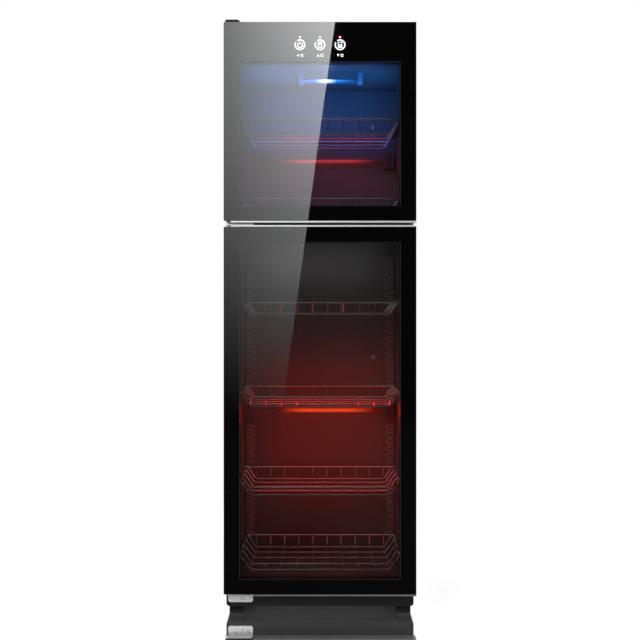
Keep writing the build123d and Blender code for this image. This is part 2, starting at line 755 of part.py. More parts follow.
frame_low, frame_high = body_z + trim, lower_top - trim
write("lower_door_glass", door_glass(frame_low, frame_high))
write("lower_door_frame", *door_frame(frame_low, frame_high, lower_window))
write("lower_door_gasket", gasket(lower_floor_z - gasket_lap, lower_ceiling_z + 12))
write("lower_door_top_strip", edge_strip(pin_x + 8, frame_high, lower_top))
write("lower_door_bottom_strip", edge_strip(pin_x + lower_plate_length + 2, body_z, frame_low))
write("lower_door_bushes", *door_bushes(frame_low, frame_high, plate_top + bush_float,
                                        middle_plate - bush_float))

upper_low = upper_z + trim
*upper_lengths, top_rail = door_frame(upper_low, upper_top, upper_window)
write("upper_door_glass", door_glass(upper_low, upper_top))
write("upper_door_frame", *upper_lengths, top_rail - board_pocket())
write("upper_door_gasket", gasket(upper_floor_z - 13, upper_ceiling_z + 16))
write("upper_door_bottom_strip", edge_strip(pin_x + 8, upper_z, upper_low))
write("upper_door_bushes", *door_bushes(upper_low, upper_top, middle_plate + hinge_plate + bush_float,
                                        body_top - 0.1))
write("touch_board", *touch_board())
write("indicator_lights", *indicator_lights())
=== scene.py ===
# %% [markdown]
# # A dish sterilizer cabinet
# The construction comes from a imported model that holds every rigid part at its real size.
# This file gives those parts their finishes, and makes the thin and bright things that a
# solid model leaves plain: round bent wires, lanced vents, printed keys, glowing heaters and
# a studio around them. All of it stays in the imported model's frame, in metres.

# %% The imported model
import math

import bmesh
import bpy
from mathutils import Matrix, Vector


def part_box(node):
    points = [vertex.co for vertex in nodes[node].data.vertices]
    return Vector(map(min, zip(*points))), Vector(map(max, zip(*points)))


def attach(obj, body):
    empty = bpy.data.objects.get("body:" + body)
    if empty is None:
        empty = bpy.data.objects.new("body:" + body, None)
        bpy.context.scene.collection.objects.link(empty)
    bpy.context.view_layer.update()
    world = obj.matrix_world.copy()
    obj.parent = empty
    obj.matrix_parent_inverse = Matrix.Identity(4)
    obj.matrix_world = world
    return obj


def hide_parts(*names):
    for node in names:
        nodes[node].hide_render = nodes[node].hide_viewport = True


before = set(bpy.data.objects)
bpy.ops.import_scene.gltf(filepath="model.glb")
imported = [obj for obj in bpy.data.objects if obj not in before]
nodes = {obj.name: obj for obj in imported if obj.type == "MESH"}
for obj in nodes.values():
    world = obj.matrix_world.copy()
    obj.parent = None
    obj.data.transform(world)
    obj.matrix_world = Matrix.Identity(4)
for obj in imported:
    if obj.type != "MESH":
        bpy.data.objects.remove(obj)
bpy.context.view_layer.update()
scene = bpy.context.scene
scene.view_settings.view_transform = "Standard"
MM = 0.001

# %% [markdown]
# ## Shader maths as plain expressions
# A material is a small network of nodes. Wiring them one by one hides the idea, so a socket
# is wrapped in a class whose operators add Math nodes: `grain * 0.3 + 0.5` reads as it works.


# %% A wrapped socket
class Field:
    """A node's output that can be added, scaled and compared like a number."""

    def __init__(self, finish, socket):
        self.finish = finish
        self.socket = socket

    def maths(self, operation, *values):
        return self.finish.node("ShaderNodeMath", {"operation": operation}, *values)

    def __add__(self, other):
        return self.maths("ADD", self, other)

    def __sub__(self, other):
        return self.maths("SUBTRACT", self, other)

    def __mul__(self, other):
        return self.maths("MULTIPLY", self, other)

    def __truediv__(self, other):
        return self.maths("DIVIDE", self, other)

    def __pow__(self, other):
        return self.maths("POWER", self, other)

    def __rsub__(self, other):
        return self.maths("SUBTRACT", other, self)

    def __gt__(self, other):
        return self.maths("GREATER_THAN", self, other)

    def __lt__(self, other):
        return self.maths("LESS_THAN", self, other)

    def __abs__(self):
        return self.maths("ABSOLUTE", self)

    __radd__ = __add__
    __rmul__ = __mul__

    def clipped(self):
        return self.finish.node("ShaderNodeClamp", None, self)


# %% [markdown]
# A finish is one material. Every node in it comes from one method, which takes the node's
# type, its settings, and the values or links of its sockets; a few named helpers below it say
# what a maker would say, such as a stretched grain or a fine bump.


# %% One material and its nodes
class Finish:
    """A material whose shader sockets take numbers, colours or wrapped links."""

    def __init__(self, name, **fixed):
        self.data = bpy.data.materials.new(name)
        self.data.use_nodes = True
        self.tree = self.data.node_tree
        self.shader = self.tree.nodes["Principled BSDF"]
        for socket, value in fixed.items():
            self.set(socket.replace("_", " "), value)

    def set(self, socket, value):
        self.link(self.shader.inputs[socket], value)

    def link(self, target, value):
        if isinstance(value, Field):
            self.tree.links.new(value.socket, target)
        elif isinstance(value, tuple) and len(target.default_value) == 4:
            target.default_value = (*value, 1.0)
        else:
            target.default_value = value

    def node(self, kind, settings=None, *values, out=0, **named):
        made = self.tree.nodes.new(kind)
        for key, value in (settings or {}).items():
            setattr(made, key, value)
        for number, value in enumerate(values):
            self.link(made.inputs[number], value)
        for key, value in named.items():
            self.link(made.inputs[key.replace("_", " ")], value)
        return Field(self, made.outputs[out]) if made.outputs else None

    def spot(self):
        """The object's own coordinates, in metres."""
        return self.node("ShaderNodeTexCoord", None, out="Object")

    def axes(self):
        """The same coordinates as three numbers."""
        split = self.node("ShaderNodeSeparateXYZ", None, self.spot()).socket.node
        return [Field(self, split.outputs[k]) for k in range(3)]

    def noise(self, scale, stretch=(1.0, 1.0, 1.0), detail=4.0, rough=0.55):
        vector = self.node("ShaderNodeMapping", None, self.spot(), Scale=stretch)
        return self.node("ShaderNodeTexNoise", None, Vector=vector, Scale=scale, Detail=detail,
                         Roughness=rough)

    def mix(self, factor, first, second):
        made = self.node("ShaderNodeMix", {"data_type": "RGBA"}, out=2).socket.node
        self.link(made.inputs[0], factor)
        self.link(made.inputs[6], first)
        self.link(made.inputs[7], second)
        return Field(self, made.outputs[2])

    def bump(self, height, strength, distance):
        self.set("Normal", self.node("ShaderNodeBump", None, Strength=strength,
                                     Distance=distance, Height=height))


def dress(finish, *names):
    """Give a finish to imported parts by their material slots."""
    for name in names:
        part = nodes[name]
        if not part.material_slots:
            part.data.materials.append(finish.data)
        for slot in part.material_slots:
            slot.material = finish.data


print("finish maker ready")

# %% [markdown]
# ## The camera
# The picture is taken square to the doors, so its verticals stay parallel. The lens stands
# level a little over mid height, and a small shift frames the cabinet in the square picture.

# %% Camera
DOOR_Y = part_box("lower_door_glass")[0][1]
IMAGE = 640
PIXEL = 2.593 * MM               # one pixel of the picture at the doors
FLOOR_ROW = 618.0                # where the floor under the doors would show
LEVEL_ROW = 300.0                # the camera's own height
DISTANCE = 2.3
eye_z = (FLOOR_ROW - LEVEL_ROW) * PIXEL

camera_data = bpy.data.cameras.new("camera")
camera = bpy.data.objects.new("camera", camera_data)
scene.collection.objects.link(camera)
camera.location = (0.0, DOOR_Y - DISTANCE, eye_z)
camera.rotation_euler = (math.radians(90), 0, 0)
camera_data.sensor_width = 36.0
camera_data.lens = camera_data.sensor_width * DISTANCE / (IMAGE * PIXEL)
camera_data.shift_y = (LEVEL_ROW - IMAGE / 2) / IMAGE
scene.camera = camera
print("lens", round(camera_data.lens, 1), "eye height", round(eye_z, 3))

# %% [markdown]
# ## Paint and mouldings
# The outside of the cabinet is black powder paint, which dries with a fine orange peel. Such
# dimples are too small to model, so a fine noise feeds a bump, and a broad noise lets the
# colour and the roughness wander. Moulded plastic and rubber are the same idea with a coarser
# grain and less shine, so one function makes them all.

# %% Paint and mouldings
PAINT_CLOUD = 9.0                # scale of the broad noise
PAINT_DARKEST = 0.7              # share of the colour that is left in the darkest spots
PAINT_WANDER = 0.12              # how far the roughness varies
PEEL_DEPTH = 0.4 * MM


def painted(name, colour, roughness, peel=900.0, lift=0.25, gloss=0.45):
    """Paint, plastic or rubber: peel is the scale of its grain, and lift its strength."""
    finish = Finish(name, Specular_IOR_Level=gloss)
    cloud = finish.noise(PAINT_CLOUD)
    grain = finish.noise(peel, detail=2.0)
    darker = tuple(part * PAINT_DARKEST for part in colour)
    finish.set("Base Color", finish.mix(cloud, darker, colour))
    finish.set("Roughness", roughness + (cloud - 0.5) * PAINT_WANDER)
    finish.bump(grain, lift, PEEL_DEPTH)
    return finish


black_paint = painted("black powder paint", (0.010, 0.010, 0.011), 0.40)
plinth_plastic = painted("black moulded plinth", (0.005, 0.005, 0.006), 0.50, peel=420.0, gloss=0.18)
foot_rubber = painted("foot rubber", (0.004, 0.004, 0.004), 0.70, peel=260.0, lift=0.5, gloss=0.15)
frame_plastic = painted("door frame moulding", (0.012, 0.012, 0.013), 0.46, peel=520.0)
gasket_rubber = painted("seal rubber", (0.045, 0.046, 0.050), 0.62, peel=700.0)
bush_nylon = painted("bush nylon", (0.55, 0.54, 0.50), 0.48, peel=800.0)
holder_plastic = painted("lamp holder moulding", (0.45, 0.46, 0.48), 0.45, peel=600.0)

dress(black_paint, "side_panel_right", "side_panel_left", "top_cover", "back_panel",
      "bottom_beam", "middle_beam", "top_beam")
dress(plinth_plastic, "base_plinth", "top_hinge_cover", "cord_gland")
dress(foot_rubber, "feet")
dress(frame_plastic, "lower_door_frame", "upper_door_frame")
dress(bush_nylon, "lower_door_bushes", "upper_door_bushes")
dress(holder_plastic, "uv_lamp_holders")
print("paint and mouldings")

# %% [markdown]
# ## Bare metal
# The chambers are lined with brushed steel, the hinges are zinc plated and the doors have
# aluminium edges. Brushing leaves fine scratches that all run one way. An anisotropic shader
# could bend the shine alone, but a noise that is stretched along the scratches varies colour,
# roughness and relief together, so the grain shows in flat light too.

# %% Steel and aluminium
METAL_CLOUD = 5.0                # scale of the broad noise under the scratches
LINES_SHARE, CLOUD_SHARE = 0.7, 0.3
STREAK_DEPTH = 2.2               # how much darker a full streak is
METAL_WANDER = 0.2               # how far the roughness varies
SCRATCH_DEPTH = 0.3 * MM


def brushed(name, colour, roughness, metallic, stretch, grain=28.0, streak=0.10, relief=0.12):
    """Metal with a grain along the axis that has the smallest number in stretch."""
    finish = Finish(name, Metallic=metallic)
    lines = finish.noise(grain, stretch, detail=6.0)
    cloud = finish.noise(METAL_CLOUD)
    darker = tuple(part * (1 - STREAK_DEPTH * streak) for part in colour)
    mottle = lines * LINES_SHARE + cloud * CLOUD_SHARE
    finish.set("Base Color", finish.mix(mottle, darker, colour))
    finish.set("Roughness", roughness + (lines - 0.5) * METAL_WANDER)
    finish.bump(lines, relief, SCRATCH_DEPTH)
    return finish


UPRIGHT, LEVEL = (60.0, 60.0, 1.0), (1.0, 60.0, 60.0)      # which way the grain runs
lining_steel = brushed("brushed lining steel", (0.26, 0.26, 0.265), 0.42, 0.35, UPRIGHT)
cover_steel = brushed("plain cover steel", (0.24, 0.235, 0.235), 0.36, 0.4, UPRIGHT)
# the pressed beads are the vent sheet's own steel, coloured much lighter as a painted highlight
highlit_bead_steel = brushed("pressed bead with painted highlight", (0.85, 0.84, 0.83), 0.30, 0.35, LEVEL)
hinge_steel = brushed("zinc plated hinge steel", (0.72, 0.72, 0.71), 0.32, 0.45,
                      (30.0, 30.0, 30.0), 22.0, 0.16)
screw_steel = brushed("screw steel", (0.60, 0.60, 0.60), 0.26, 0.8, (40.0, 40.0, 40.0))
strip_metal = brushed("satin aluminium strip", (0.62, 0.62, 0.63), 0.30, 0.45, LEVEL, 40.0, 0.04)
# the lower door's bottom strip is the same aluminium, coloured darker as painted shade because less
# light reaches it
shaded_strip_metal = brushed("strip aluminium darkened as painted shade", (0.17, 0.17, 0.175), 0.34, 0.45, LEVEL, 40.0, 0.04)
chrome_wire = brushed("chromed wire", (0.90, 0.90, 0.91), 0.20, 0.8, (3.0, 3.0, 3.0),
                      streak=0.05, relief=0.01)

dress(lining_steel, *[f"{room}_lining_{side}" for room in ("upper", "lower")
                      for side in ("right", "left", "floor", "ceiling", "back")],
      "upper_runners", "lower_runners")
dress(cover_steel, "corner_vents", "heater_covers", "heater_bracket")
dress(hinge_steel, "lower_hinge_plate", "centre_hinge_plate", "top_hinge_plate", "thermostats")
dress(screw_steel, "hinge_pins")
dress(strip_metal, "lower_door_top_strip", "upper_door_bottom_strip")
dress(shaded_strip_metal, "lower_door_bottom_strip")
print("steel and aluminium")

# %% [markdown]
# The wool between the skins is a pale fibre and the boards are green with copper tracks. They
# show only when a skin is taken off, but a texture of the right size costs nothing.

# %% Wool and boards
wool = Finish("mineral wool", Roughness=0.95)
fibres = wool.noise(140.0, (1.0, 4.0, 1.0), detail=8.0, rough=0.75)
wool.set("Base Color", wool.mix(fibres, (0.36, 0.33, 0.26), (0.66, 0.62, 0.52)))
wool.bump(fibres, 0.8, 0.002)

board_green = Finish("circuit board", Roughness=0.35)
tracks = board_green.node("ShaderNodeTexVoronoi", {"feature": "DISTANCE_TO_EDGE"},
                          Vector=board_green.spot(), Scale=160.0)
board_green.set("Base Color", board_green.mix(tracks < 0.06, (0.012, 0.075, 0.035),
                                              (0.20, 0.16, 0.06)))
dress(wool, "side_insulation", "back_insulation")
dress(board_green, "touch_board", "power_board")
print("wool and boards")

# %% [markdown]
# ## Door glass
# A door is one sheet of tempered glass. Its border is printed black on the back and the window
# is left clear but tinted, so one material holds both: a mask from the object's coordinates
# drives Alpha, and a hairline of lighter print runs around the window. Alpha thins a gleam as
# well as the colour, so the window is made metallic there: its Base Color is then how much it
# mirrors, and it is set so that a gleam runs across border and window about as strong.

# %% Printed border and tinted window
PRINT_LINE = 1.1 * MM
SIDE_BORDER, BOTTOM_BORDER = 42 * MM, 40 * MM
LOWER_TOP_BORDER = 41 * MM
UPPER_TOP_BORDER = 104 * MM      # the tall one holds the keys
SEE_THROUGH = 0.56               # share of light that passes each face of the tinted sheet
GLEAM = 0.029                    # share that each face mirrors when seen square on


def pane(name, node, top_border):
    """The window's edges are measured in from the box of the glass."""
    low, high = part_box(node)
    half_mirror = (GLEAM / (1 - SEE_THROUGH),) * 3
    finish = Finish(name, Specular_IOR_Level=0.5)
    x, _, z = finish.axes()
    across = abs(x)
    window_low, window_high = low[2] + BOTTOM_BORDER, high[2] - top_border
    middle, tall = (window_low + window_high) / 2, (window_high - window_low) / 2
    up = abs(z - middle)
    wide = high[0] - SIDE_BORDER
    inside = (across < wide) * (up < tall)
    ringed = (across < wide + PRINT_LINE) * (up < tall + PRINT_LINE)
    smear = finish.noise(3.0)
    border = finish.mix(smear, (0.0010, 0.0010, 0.0013), (0.0022, 0.0022, 0.0026))
    printed = finish.mix(ringed - inside, border, (0.024, 0.025, 0.028))
    finish.set("Base Color", finish.mix(inside, printed, half_mirror))
    finish.set("Metallic", inside)
    finish.set("Alpha", 1 - inside * SEE_THROUGH)
    finish.set("Roughness", 0.010 + smear * 0.012)
    finish.data.surface_render_method = "BLENDED"
    dress(finish, node)


pane("lower door glass", "lower_door_glass", LOWER_TOP_BORDER)
pane("upper door glass", "upper_door_glass", UPPER_TOP_BORDER)
print("door glass")

# %% [markdown]
# ## Heaters
# Each heater is a quartz tube around a coil that glows red and is cooler at both ends. A lamp
# alone would light the room and leave the tube dark, so the glow is emission on the parts, and
# the light that they throw on the lining comes from area lamps set along them further down.

# %% Glow of the coils and tubes
heater_low, heater_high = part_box("heater_tubes")
BETWEEN = (heater_low[2] + heater_high[2]) / 2        # a height between the two heaters
HOT_X = (heater_low[0] + heater_high[0]) / 2
HOT_REACH = 140 * MM             # from the middle of a tube to where its glow ends
COIL_EDGE, TUBE_EDGE = 50 * MM, 70 * MM
TURNS = 2600.0                   # sets how close the coil's turns are, in radians a metre


def fade(finish, edge):
    """1 along a glowing tube, falling to 0 over the given edge at both ends."""
    x, _, _ = finish.axes()
    return ((HOT_REACH - abs(x - HOT_X)) / edge).clipped()


hot_coil = Finish("glowing coil", Roughness=0.6, Emission_Strength=2.2)
x, _, z = hot_coil.axes()
wave = hot_coil.node("ShaderNodeMath", {"operation": "SINE"}, x * TURNS) * 0.5 + 0.5
heat = fade(hot_coil, COIL_EDGE)
dull_red = hot_coil.mix(wave, (0.40, 0.018, 0.010), (0.62, 0.045, 0.025))
orange_red = hot_coil.mix(wave, (0.90, 0.045, 0.006), (1.0, 0.120, 0.016))
coil_red = hot_coil.mix(z > BETWEEN, orange_red, dull_red)
hot_coil.set("Base Color", hot_coil.mix(wave, (0.10, 0.03, 0.02), (0.20, 0.05, 0.03)))
hot_coil.set("Emission Color", hot_coil.mix(heat, (0.05, 0.002, 0.001), coil_red))

quartz = Finish("milky quartz", Roughness=0.12, Emission_Strength=2.1)
milk = quartz.noise(60.0)
_, _, z = quartz.axes()
warm = fade(quartz, TUBE_EDGE)
lit = quartz.mix(z > BETWEEN, (0.98, 0.075, 0.010), (0.50, 0.030, 0.018))
quartz.set("Base Color", quartz.mix(milk, (0.30, 0.06, 0.04), (0.40, 0.10, 0.06)))
quartz.set("Alpha", 0.78 + milk * 0.15)
quartz.set("Emission Color", quartz.mix(warm, (0.02, 0.002, 0.001), lit))

dress(hot_coil, "heater_elements")
dress(quartz, "heater_tubes")
print("heaters")

# %% [markdown]
# ## Ultraviolet lamp
# The lamp is a thin tube with an arc inside that is white at its middle and blue towards both
# ends. An even glow would make it a plain stick of light, so two masks along the tube are
# worked out from its own box: a short one for the white core, and a long one for the blue.

# %% Ultraviolet lamp
ARC_X = 17 * MM                  # the arc burns a little right of the tube's middle
CORE_REACH, FLARE_REACH = 30 * MM, 85 * MM
CORE_BOOST = 1.6                 # widens the white core before it is clipped
TUBE_MARGIN = 1.15               # the glow ends a little outside the tube's radius
lamp_low, lamp_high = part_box("uv_lamp_tube")
LAMP_Z, LAMP_R = (lamp_low[2] + lamp_high[2]) / 2, (lamp_high[2] - lamp_low[2]) / 2

lamp_glow = Finish("ultraviolet tube", Roughness=0.2, Emission_Strength=4.4)
x, _, z = lamp_glow.axes()
axial = (1 - abs(z - LAMP_Z) / (LAMP_R * TUBE_MARGIN)).clipped()
core = (1 - abs(x - ARC_X) / CORE_REACH).clipped() ** 1.2
flare = ((1 - abs(x - ARC_X) / FLARE_REACH).clipped() * axial ** 2.0).clipped()
blue = lamp_glow.mix(flare, (0.002, 0.022, 0.085), (0.03, 0.38, 1.0))
white_core = (core * (axial * CORE_BOOST)).clipped()
lamp_glow.set("Base Color", lamp_glow.mix(flare, (0.01, 0.03, 0.08), (0.2, 0.35, 0.6)))
lamp_glow.set("Emission Color", lamp_glow.mix(white_core, blue, (0.85, 0.97, 1.0)))
dress(lamp_glow, "uv_lamp_tube")
print("lamp")

# %% [markdown]
# ## Making pieces
# Every new piece is a mesh built in code. It rides on the body that carries it, and takes one
# of the finishes made above into its material slot, so a few lines do that once.


# %% Helpers for new pieces
def lerp(a, b, t):
    return a + (b - a) * t


def settle(name, build, finish, body, smooth=True, instead_of=()):
    """Turn a bmesh into a piece of the object."""
    mesh = bpy.data.meshes.new(name)
    bmesh.ops.recalc_face_normals(build, faces=build.faces)
    for face in build.faces:
        face.smooth = smooth
    build.to_mesh(mesh)
    build.free()
    piece = bpy.data.objects.new(name, mesh)
    scene.collection.objects.link(piece)
    mesh.materials.append(finish.data)
    if smooth:
        mesh.set_sharp_from_angle(angle=math.radians(35))
    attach(piece, body)
    if instead_of:
        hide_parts(*instead_of)


def rounded(points, radius, steps=4, closed=False):
    """The same route with each corner turned into a short arc."""
    out = []
    for k, corner in enumerate(points):
        if not closed and k in (0, len(points) - 1):
            out.append(corner)
            continue
        before, after = points[k - 1], points[(k + 1) % len(points)]
        reach = min(radius, (corner - before).length * 0.45, (after - corner).length * 0.45)
        start = corner + (before - corner).normalized() * reach
        end = corner + (after - corner).normalized() * reach
        for step in range(steps + 1):
            t = step / steps
            out.append(lerp(lerp(start, corner, t), lerp(corner, end, t), t))
    return out


def add_sweep(build, points, ring, closed=False):
    """Carry a small outline of (sideways, up) offsets along a route, mitred at each point."""
    count = len(points)
    rows = []
    side = None
    for k, point in enumerate(points):
        before = points[k - 1] if closed or k else point
        after = points[(k + 1) % count] if closed or k < count - 1 else point
        way = ((point - before).normalized() + (after - point).normalized()).normalized()
        if side is None:
            side = way.cross(Vector((0, 0, 1)) if abs(way.z) < 0.9 else Vector((0, 1, 0)))
        side = (side - way * side.dot(way)).normalized()
        up = side.cross(way)
        rows.append([build.verts.new(point + side * u + up * v) for u, v in ring])
    pairs = list(zip(rows, rows[1:])) + ([(rows[-1], rows[0])] if closed else [])
    for row, following in pairs:
        for k in range(len(ring)):
            j = (k + 1) % len(ring)
            build.faces.new((row[k], row[j], following[j], following[k]))
    if not closed:
        build.faces.new(rows[0])
        build.faces.new(rows[-1])


def turns(sides):
    """Evenly spaced angles round a circle."""
    return [2 * math.pi * k / sides for k in range(sides)]


def circle(radius, sides=10):
    return [(radius * math.cos(a), radius * math.sin(a)) for a in turns(sides)]


print("helpers ready")

# %% [markdown]
# ## Wire baskets
# A chromed basket is bent from round wire and spot welded: a rim, ribs that hang from it, and
# long wires from front to back that turn up at both ends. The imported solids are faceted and
# mitred, so each basket is swept again with a round section and real bends, in the same places.

# %% Six baskets
RIM, RIB, LONG = 4 * MM, 3.5 * MM, 3 * MM             # wire diameters
RIM_BEND, RIB_BEND, LONG_BEND = 12 * MM, 8 * MM, 10 * MM
RIM_RISE, WELD = 31.3 * MM, 0.06 * MM                 # rim over floor, and how far welds sink
HALF_X, FRONT_X, FLOOR_X = 219 * MM, 192 * MM, 190 * MM
FRONT_Y, CORNER_Y, BACK_Y = -140 * MM, -92 * MM, 150 * MM
RIBS, FIRST_RIB, LAST_RIB = 5, CORNER_Y + 4 * MM, BACK_Y - 18 * MM
RIB_LIP = 6 * MM                 # the level end of a rib, where it lies on the rim
LONGS, LONG_INSET, LONG_RISE = 10, 1 * MM, 12 * MM    # count, from the side, rise at the back


def basket_wires(build, floor_z):
    """The rim, then the ribs across, then the long wires from front to back."""
    rim_z = floor_z + RIM_RISE
    ring = [(HALF_X, BACK_Y), (HALF_X, CORNER_Y), (FRONT_X, FRONT_Y),
            (-FRONT_X, FRONT_Y), (-HALF_X, CORNER_Y), (-HALF_X, BACK_Y)]
    rim = rounded([Vector((x, y, rim_z)) for x, y in ring], RIM_BEND, 5, True)
    add_sweep(build, rim, circle(RIM / 2), closed=True)
    lip_z = rim_z + (RIM + RIB) / 2 - WELD
    for k in range(RIBS):
        y = lerp(FIRST_RIB, LAST_RIB, k / (RIBS - 1))
        row = [(-HALF_X - RIM / 2, lip_z), (-HALF_X + RIB_LIP, lip_z), (-FLOOR_X, floor_z),
               (FLOOR_X, floor_z), (HALF_X - RIB_LIP, lip_z), (HALF_X + RIM / 2, lip_z)]
        rib = rounded([Vector((x, y, z)) for x, z in row], RIB_BEND)
        add_sweep(build, rib, circle(RIB / 2))
    bed = floor_z + (RIB + LONG) / 2 - WELD
    under = rim_z - (RIM + LONG) / 2 + WELD
    for k in range(LONGS):
        x = (FLOOR_X - LONG_INSET) * (2 * k / (LONGS - 1) - 1)
        row = [(FRONT_Y, under), (CORNER_Y, bed), (BACK_Y - LONG_RISE, bed), (BACK_Y, under)]
        wire = rounded([Vector((x, y, z)) for y, z in row], LONG_BEND)
        add_sweep(build, wire, circle(LONG / 2))


for number in range(1, 7):
    node = f"basket_{number}"
    build = bmesh.new()
    basket_wires(build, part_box(node)[0][2] + RIB / 2)
    settle(f"wires_{node}", build, chrome_wire, node, instead_of=[node])
print("six wire baskets")

# %% [markdown]
# ## Pressed beads of the vents
# The channels beside the back corners are punched with a row of slots, and a bead is pressed
# round each slot to stiffen the sheet: it is closed on the inner side and open on the outer
# one, with a straight bead between one slot and the next. The slots' own places are read from
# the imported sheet, so that every bead sits round a real slot.

# %% Where the slots are
SHORTEST_EDGE, LONGEST_EDGE = 5 * MM, 24 * MM         # what counts as a slot's level edge
TALLEST_SLOT = 8 * MM
vent_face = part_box("corner_vents")[0][1]


def slots(node):
    """Slots as (x, low z, high z, width), from the short level edges of the front face."""
    mesh = nodes[node].data
    front = {v.index for v in mesh.vertices if abs(v.co.y - vent_face) < 1e-5}
    level = []
    for edge in mesh.edges:
        a, b = [mesh.vertices[k].co for k in edge.vertices]
        wide = abs(a.x - b.x)
        is_level = abs(a.z - b.z) < 1e-6 and SHORTEST_EDGE < wide < LONGEST_EDGE
        if is_level and set(edge.vertices) <= front:
            level.append((round((a.x + b.x) / 2, 4), round(a.z, 5), round(wide, 4)))
    places = []
    for x in sorted({x for x, _, _ in level}):
        heights = sorted({z for at, z, _ in level if at == x})
        width = max(wide for at, _, wide in level if at == x)
        places += [(x, low, high, width) for low, high in zip(heights, heights[1:])
                   if high - low < TALLEST_SLOT]
    return places


vent_slots = slots("corner_vents")
print("slots", len(vent_slots), vent_slots[:2])

# %% [markdown]
# A bead could be a ridge in the bump alone, but it catches the light as a bright line, and an
# outline that shows is better made as a shape. A thin round section is swept along a C, and
# sunk into the sheet so that only a rounded ridge stands out. The bead is the sheet's own steel,
# but its colour is made far lighter: a painted highlight for the line of light it catches.

# %% A bead round every slot
BEAD = 1.1 * MM                  # half the width of a pressed bead
BEAD_SIDES = 8
BEAD_OUT = 0.4                   # how far a bead's middle stands out, in beads
BEAD_BACK = 0.6                  # how far the round end is drawn back, in its radii
HALF_TURN_STEPS = 6
STRAIGHT_BELOW = 7.7 * MM        # from a slot down to the straight bead under it

build = bmesh.new()
for x, low, high, width in vent_slots:
    inner = -1 if x > 0 else 1
    middle, tall = (low + high) / 2, (high - low) / 2 + BEAD
    closed_x, open_x = x + inner * width / 2, x - inner * width / 2
    y = vent_face - BEAD * BEAD_OUT
    loop = [Vector((open_x, y, middle + tall))]
    for step in range(HALF_TURN_STEPS + 1):
        turn = math.radians(90 - 180 * step / HALF_TURN_STEPS)
        end_x = closed_x + inner * tall * (math.cos(turn) - BEAD_BACK)
        loop.append(Vector((end_x, y, middle + tall * math.sin(turn))))
    loop.append(Vector((open_x, y, middle - tall)))
    add_sweep(build, loop, circle(BEAD, BEAD_SIDES))
    between = low - STRAIGHT_BELOW
    straight = [Vector((open_x, y, between)), Vector((closed_x, y, between))]
    add_sweep(build, straight, circle(BEAD, BEAD_SIDES))
settle("vent_beads", build, highlit_bead_steel, "cabinet")
print("vent beads")

# %% [markdown]
# The end covers of the heaters are small folded boxes with a row of raised louvre slats on the
# front, which let the hot air out. All covers share one node, so the node is parted into its
# separate pieces, and each piece's own box then gives the places of its slats.

# %% Louvre slats on the heater covers
SLATS, SLAT_INSET, SLAT_OUT = 6, 4 * MM, 0.3


def islands(node):
    """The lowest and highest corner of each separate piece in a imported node."""
    build = bmesh.new()
    build.from_mesh(nodes[node].data)
    bmesh.ops.remove_doubles(build, verts=build.verts, dist=1e-6)
    left = set(build.verts)
    found = []
    while left:
        stack, group = [left.pop()], []
        while stack:
            vert = stack.pop()
            group.append(vert.co.copy())
            for edge in vert.link_edges:
                other = edge.other_vert(vert)
                if other in left:
                    left.remove(other)
                    stack.append(other)
        low = Vector(min(p[k] for p in group) for k in range(3))
        high = Vector(max(p[k] for p in group) for k in range(3))
        found.append((low, high))
    build.free()
    return sorted(found, key=lambda pair: tuple(pair[0]))


build = bmesh.new()
for low, high in islands("heater_covers"):
    for k in range(SLATS):
        z = lerp(low.z, high.z, (k + 1) / (SLATS + 1))
        y = low.y - BEAD * SLAT_OUT
        slat = [Vector((low.x + SLAT_INSET, y, z)), Vector((high.x - SLAT_INSET, y, z))]
        add_sweep(build, slat, circle(BEAD, BEAD_SIDES))
settle("cover_louvres", build, cover_steel, "cabinet")
print("louvres")

# %% [markdown]
# ## Screws
# The hinges and the back panel are held by pan head screws with a cross recess. Cutting each
# recess out would need a boolean for every screw. A turned profile makes the head instead, and
# a thin cross that just breaks through its crown is coloured near black as the recess's painted
# shade.

# %% Pan head screws
# near black here is the painted shade of the recess, not a colour of the screw
recess_painted_shade = painted("painted shade in screw recess", (0.02, 0.02, 0.02), 0.6)
HEAD_PROFILE = ((1.0, 0.0), (1.0, 0.35), (0.86, 0.72), (0.55, 0.95), (0.2, 1.0))
HEAD_SIDES = 20
CROSS_ARM, CROSS_THICK = 0.52, 0.11                   # shares of the head's radius
CROSS_LOW, CROSS_HIGH = 0.80, 1.02                    # shares of the head's height
HEAD_R, HINGE_HEAD, BACK_HEAD = 4 * MM, 2 * MM, 1.6 * MM
SAME_SIZE = 1.2 * MM             # sizes this close to each other count as equal


def pan_head(heads, crosses, centre, outward, height):
    """A domed head on a face whose outward direction is given, and the cross in it."""
    outward = Vector(outward)
    side = outward.orthogonal().normalized()
    other = outward.cross(side)
    centre = Vector(centre)
    spokes = [side * math.cos(a) + other * math.sin(a) for a in turns(HEAD_SIDES)]
    rings = []
    for share, rise in HEAD_PROFILE:
        level = centre + outward * height * rise
        rings.append([heads.verts.new(level + spoke * HEAD_R * share) for spoke in spokes])
    for ring, following in zip(rings, rings[1:]):
        for k in range(HEAD_SIDES):
            j = (k + 1) % HEAD_SIDES
            heads.faces.new((ring[k], ring[j], following[j], following[k]))
    heads.faces.new(rings[0])
    heads.faces.new(rings[-1])
    arm, thick = HEAD_R * CROSS_ARM, HEAD_R * CROSS_THICK
    for way, across in ((side, other), (other, side)):
        row = [centre + outward * height * rise + way * u * arm + across * v * thick
               for rise in (CROSS_LOW, CROSS_HIGH)
               for u, v in ((-1, -1), (1, -1), (1, 1), (-1, 1))]
        corners = [crosses.verts.new(point) for point in row]
        crosses.faces.new(corners[4:])
        for k in range(4):
            j = (k + 1) % 4
            crosses.faces.new((corners[k], corners[j], corners[4 + j], corners[4 + k]))


